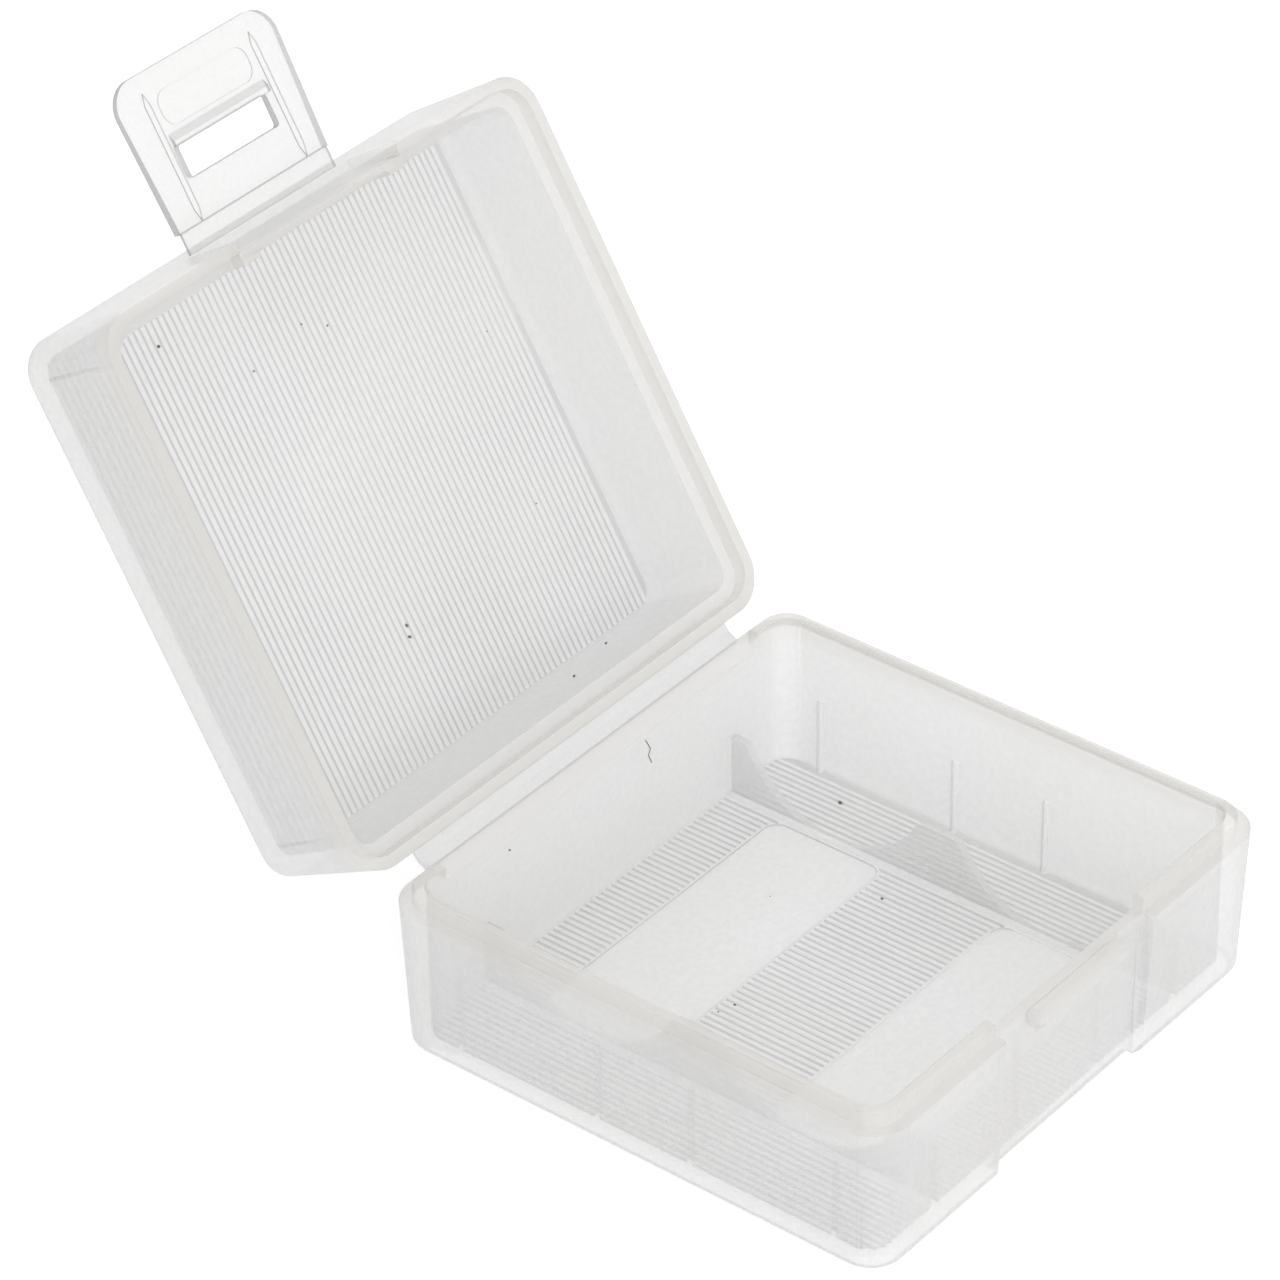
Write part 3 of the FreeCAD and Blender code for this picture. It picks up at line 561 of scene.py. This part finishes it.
def join_flats(mesh):
    """Join the triangles of each flat face into one face."""
    form = bmesh.new()
    form.from_mesh(mesh)
    bmesh.ops.dissolve_limit(form, angle_limit=FLAT_ANGLE, verts=form.verts, edges=form.edges)
    form.to_mesh(mesh)
    form.free()


def paint_groove_shade(mesh, inside):
    """Give the second material, which paints shade, to the reeds' flanks and grooves and to the bare
    panels' edges.
    """
    slack = 0.03
    for face in mesh.polygons:
        across, along, up = inside.measure(face.center)
        in_length = inside.start + slack < along < inside.end - slack
        in_height = inside.floor + slack < up < inside.floor + REED_HEIGHT - slack
        if abs(across) < inside.half - slack and in_length and in_height:
            face.material_index = 1


def shade_edges(piece):
    """Keep edges and large flat faces crisp, and the roundings smooth."""
    piece.data.shade_smooth()
    piece.data.set_sharp_from_angle(angle=SHARP_ANGLE)
    for face in piece.data.polygons:
        face.use_smooth = face.area < BIG_FACE
    flats = piece.modifiers.new("flats", "WEIGHTED_NORMAL")
    flats.keep_sharp = True
    flats.weight = 100


def make_moulding(name, node, body, skin, groove, inside, panels):
    """The tray or the lid as moulded, with its reeds running away from the hinge."""
    mesh = nodes[node].data.copy()
    level_reeds(mesh, inside)
    piece = add_object(name, mesh)
    comb = reed_comb(inside)
    crest = inside.floor + REED_HEIGHT
    for centre in panels:
        work(comb, "UNION", panel_block(centre, PANEL_BORDER, inside.floor - SEAT, crest))
        work(comb, "DIFFERENCE", panel_block(centre, 0.0, inside.floor - SEAT * 2, crest + SEAT))
    work(piece, "UNION", comb)
    join_flats(piece.data)
    piece.data.materials.clear()
    piece.data.materials.append(skin)
    # The second slot holds the groove material with its painted shade
    piece.data.materials.append(groove)
    paint_groove_shade(piece.data, inside)
    shade_edges(piece)
    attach(piece, body)
    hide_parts(node)


def make_dirt(name, body, material, specks, place):
    """Small dark specks of dust on an inside face."""
    wide, tall, rough = (0.6, 1.2), (0.5, 0.9), (0.75, 1.0)
    draw = random.Random(5)
    form = bmesh.new()
    for across, along, up, radius in specks:
        blob = bmesh.ops.create_icosphere(form, subdivisions=2, radius=radius * MM)
        middle = place(across, along, up)
        stretch = Matrix.Diagonal((draw.uniform(*wide), draw.uniform(*wide), draw.uniform(*tall)))
        for vertex in blob["verts"]:
            vertex.co = middle + stretch @ vertex.co * draw.uniform(*rough)
    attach(add_piece(name, mesh_from(form, name), material), body)


def make_hair(name, body, material, route):
    """A fine hair that lies on a wall."""
    sides = 6
    angles = [math.tau * side / sides for side in range(sides)]
    ring = [Vector((math.cos(angle), math.sin(angle) * HAIR_FLATNESS, 0.0)) for angle in angles]
    steps = 6
    centres = between(route, steps)
    form = bmesh.new()
    rings = [[form.verts.new(centre + spoke * HAIR_RADIUS) for spoke in ring] for centre in centres]
    skin_rings(form, rings)
    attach(add_piece(name, mesh_from(form, name), material), body)


make_camera()
make_world()
make_floor()
for lamp_settings in LAMPS:
    make_lamp(*lamp_settings)

# Rims that look thick: a place on each, the way inward, and the depths between which it fades
tray_rim = (Vector((0.0, 0.0, 21.9)) * MM, Vector((0.0, 0.0, -1.0)), 1.6, 3.4)
lid_rim = (lid_point(0, 0, 0), LID_DEEP, 1.2, 3.0)

tray_skin = make_plastic("milky_tray", 0.26, 0.9, 0.34, 1.3, rim=tray_rim)
lid_skin = make_plastic("milky_lid", 0.36, 0.9, 0.34, 2.6, rim=lid_rim)
# The latch's tab and web get painted shade on their turned edges
tab = make_plastic("milky_tab", 0.25, 0.85, 0.3, 4.1, plate=LID_DEEP)
web = make_plastic("clear_web", 0.25, 0.85, 0.25, 7.7, plate=LID_DEEP)
strip = make_plastic("hinge_web", 0.5, 0.9, 0.25, 9.2)
# Painted shade: a darker grey for the reeds' flanks and grooves and the bare panels' edges
groove_shade = make_plastic("painted_groove_shade", 0.5, 0.9, 0.4, 3.3, wall=GROOVE_SHADE)
dust = make_dust_material()

finish_node("base_tray", tray_skin)
finish_node("lid", lid_skin)
finish_node("latch_tab", tab)
finish_node("lid_hinge", strip)
finish_node("latch_hinge", web)

# The bending strips, and the shells with their reeds
tray_inside = Inside(34.5, -32.8, 32.8, 1.0, tray_point, tray_measure)
lid_inside = Inside(34.35, 3.15, 68.45, -16.3, lid_place, lid_measure)
tray_panels = (PANEL_CENTRE, -PANEL_CENTRE)
make_lid_strip(strip)
make_latch_root(web)
make_moulding("tray_moulding", "base_tray", "tray", tray_skin, groove_shade, tray_inside, tray_panels)
make_moulding("lid_moulding", "lid", "lid", lid_skin, groove_shade, lid_inside, ())

# Dust and a hair, as the photograph shows them
make_dirt("lid_dust", "lid", dust, LID_SPECKS, lid_place)
make_dirt("tray_dust", "tray", dust, TRAY_SPECKS, tray_point)
make_hair("hair", "tray", dust, [tray_point(*place) for place in HAIR_ROUTE])

bpy.context.scene.view_settings.view_transform = "Standard"
